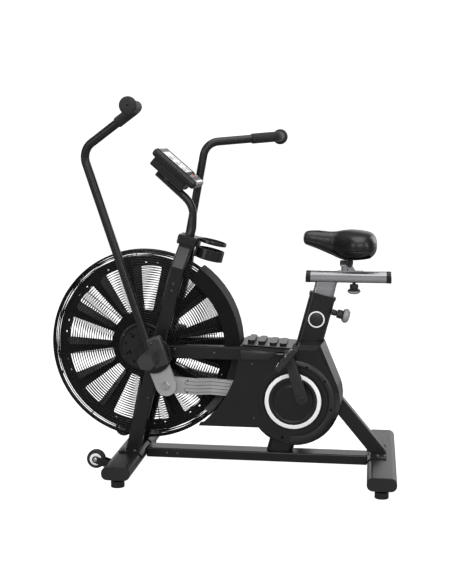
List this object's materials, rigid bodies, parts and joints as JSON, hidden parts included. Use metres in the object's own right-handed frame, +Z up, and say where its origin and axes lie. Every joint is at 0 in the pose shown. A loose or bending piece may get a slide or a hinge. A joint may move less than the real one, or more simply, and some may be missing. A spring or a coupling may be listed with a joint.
{
  "type": "air bike",
  "caption": "Fan-resisted exercise bike: caged fan wheel, belt-driven crank with pedals, swinging handlebars on connecting rods, adjustable saddle, tilting console and floor beams.",
  "frame": {"origin": "on the floor, at the middle of the machine's outer box", "axes": "+Z up, +X from the fan towards the saddle, +Y to the rider's right"},
  "size_m": [1.2482, 0.7956, 1.3185],
  "materials": {
    "frame_paint": "satin",
    "cover_plastic": "fine grain",
    "dark_casting": "satin",
    "grey_casting": "satin",
    "aluminium": "brushed",
    "steel": "turned",
    "rubber": "matte",
    "foam": "closed-cell foam",
    "vinyl": "grained vinyl",
    "cage_wire": "satin",
    "button_red": "satin"
  },
  "bodies": {
    "frame": {"front_floor_beam": "frame_paint", "rear_floor_beam": "frame_paint", "front_left_end_cap": "rubber", "front_right_end_cap": "rubber", "rear_left_end_cap": "rubber", "rear_right_end_cap": "rubber", "base_rail": "frame_paint", "left_front_post": "frame_paint", "right_front_post": "frame_paint", "left_side_rail": "frame_paint", "right_side_rail": "frame_paint", "post_collar": "frame_paint", "console_mast": "frame_paint", "bottle_holder": "cover_plastic", "left_fan_guard": "cage_wire", "right_fan_guard": "cage_wire", "guard_band": "cover_plastic", "fan_axle": "steel", "left_foot_peg": "dark_casting", "right_foot_peg": "dark_casting", "seat_tube": "frame_paint", "rear_strut": "frame_paint", "left_cover": "cover_plastic", "right_cover": "cover_plastic", "top_cover": "cover_plastic", "drive_belt": "rubber"},
    "fan": {"fan_wheel": "frame_paint", "fan_pulley": "steel"},
    "crankset": {"crankshaft": "steel", "crank_pulley": "dark_casting", "left_crank_disc": "cover_plastic", "right_crank_disc": "cover_plastic", "left_crank_arm": "dark_casting", "right_crank_arm": "dark_casting", "left_big_end_bearing": "steel", "right_big_end_bearing": "steel"},
    "left_pedal_body": {"left_pedal": "dark_casting"},
    "right_pedal_body": {"right_pedal": "dark_casting"},
    "left_arm": {"left_handlebar": "frame_paint", "left_grip": "foam", "left_link_arm": "grey_casting"},
    "right_arm": {"right_handlebar": "frame_paint", "right_grip": "foam", "right_link_arm": "grey_casting"},
    "left_rod": {"left_connecting_rod": "grey_casting"},
    "right_rod": {"right_connecting_rod": "grey_casting"},
    "saddle_mast": {"seat_post": "aluminium"},
    "saddle_slide": {"saddle_carriage": "aluminium", "saddle": "vinyl"},
    "clamp_knob": {"saddle_clamp_knob": "dark_casting"},
    "pull_knob": {"seat_pull_knob": "dark_casting"},
    "console": {"console_housing": "cover_plastic"},
    "console_key": {"console_button": "button_red"},
    "left_wheel": {"left_transport_wheel": "rubber"},
    "right_wheel": {"right_transport_wheel": "rubber"},
    "front_left_leveller": {"front_left_foot": "rubber"},
    "front_right_leveller": {"front_right_foot": "rubber"},
    "rear_left_leveller": {"rear_left_foot": "rubber"},
    "rear_right_leveller": {"rear_right_foot": "rubber"}
  },
  "joints": [
    {"name": "crank_turn", "type": "hinge", "parent": "frame", "child": "crankset", "pos_m": [0.2645, 0, 0.283], "axis": [0, 1, 0], "continuous": true},
    {"name": "fan_turn", "type": "hinge", "parent": "frame", "child": "fan", "pos_m": [-0.2794, 0, 0.45], "axis": [0, 1, 0], "continuous": true},
    {"name": "left_pedal_turn", "type": "hinge", "parent": "crankset", "child": "left_pedal_body", "pos_m": [0.24859, 0, 0.44824], "axis": [0, 1, 0], "continuous": true},
    {"name": "right_pedal_turn", "type": "hinge", "parent": "crankset", "child": "right_pedal_body", "pos_m": [0.28041, 0, 0.11776], "axis": [0, 1, 0], "continuous": true},
    {"name": "left_arm_swing", "type": "hinge", "parent": "frame", "child": "left_arm", "pos_m": [-0.222, 0, 0.437], "axis": [0, 1, 0], "range_deg": [-2.8, 31.5]},
    {"name": "right_arm_swing", "type": "hinge", "parent": "frame", "child": "right_arm", "pos_m": [-0.222, 0, 0.437], "axis": [0, 1, 0], "range_deg": [-31.5, 2.8]},
    {"name": "left_rod_turn", "type": "hinge", "parent": "left_arm", "child": "left_rod", "pos_m": [-0.17931, 0, 0.32807], "axis": [0, 1, 0], "range_deg": [-31.5, 2.8]},
    {"name": "right_rod_turn", "type": "hinge", "parent": "right_arm", "child": "right_rod", "pos_m": [-0.23768, 0, 0.32105], "axis": [0, 1, 0], "range_deg": [-2.8, 31.5]},
    {"name": "saddle_height", "type": "slide", "parent": "frame", "child": "saddle_mast", "axis": [0.2538, 0, 0.9673], "range_m": [-0.025, 0.15]},
    {"name": "saddle_fore_aft", "type": "slide", "parent": "saddle_mast", "child": "saddle_slide", "axis": [1, 0, 0], "range_m": [-0.028, 0.05]},
    {"name": "clamp_knob_turn", "type": "hinge", "parent": "saddle_slide", "child": "clamp_knob", "pos_m": [0.4669, 0, 0.6857], "axis": [0, 0, -1], "range_deg": [0, 300]},
    {"name": "pull_knob_pull", "type": "slide", "parent": "frame", "child": "pull_knob", "axis": [0.9673, 0, -0.2538], "range_m": [0, 0.01], "stiffness_N_per_m": 800, "springref_m": -0.005},
    {"name": "console_tilt", "type": "hinge", "parent": "frame", "child": "console", "pos_m": [-0.198, 0, 1.0446], "axis": [0, 1, 0], "range_deg": [-12, 10]},
    {"name": "console_button_press", "type": "slide", "parent": "console", "child": "console_key", "axis": [0.6561, 0, 0.7547], "range_m": [-0.0008, 0], "stiffness_N_per_m": 800, "springref_m": 0.0005},
    {"name": "left_wheel_roll", "type": "hinge", "parent": "frame", "child": "left_wheel", "pos_m": [-0.4157, -0.2145, 0.0767], "axis": [0, 1, 0], "continuous": true},
    {"name": "right_wheel_roll", "type": "hinge", "parent": "frame", "child": "right_wheel", "pos_m": [-0.4157, 0.2145, 0.0767], "axis": [0, 1, 0], "continuous": true},
    {"name": "front_left_foot_turn", "type": "hinge", "parent": "frame", "child": "front_left_leveller", "pos_m": [-0.3255, -0.2765, 0.021], "axis": [0, 0, 1], "continuous": true},
    {"name": "front_right_foot_turn", "type": "hinge", "parent": "frame", "child": "front_right_leveller", "pos_m": [-0.3255, 0.2765, 0.021], "axis": [0, 0, 1], "continuous": true},
    {"name": "rear_left_foot_turn", "type": "hinge", "parent": "frame", "child": "rear_left_leveller", "pos_m": [0.574, -0.2765, 0.021], "axis": [0, 0, 1], "continuous": true},
    {"name": "rear_right_foot_turn", "type": "hinge", "parent": "frame", "child": "rear_right_leveller", "pos_m": [0.574, 0.2765, 0.021], "axis": [0, 0, 1], "continuous": true}
  ],
  "couplings": [
    {"joint": "fan_turn", "follows": "crank_turn", "ratio": 5.122},
    {"joint": "right_arm_swing", "follows": "left_arm_swing", "ratio": -1},
    {"joint": "left_rod_turn", "follows": "left_arm_swing", "ratio": -1},
    {"joint": "right_rod_turn", "follows": "left_arm_swing", "ratio": 1}
  ]
}
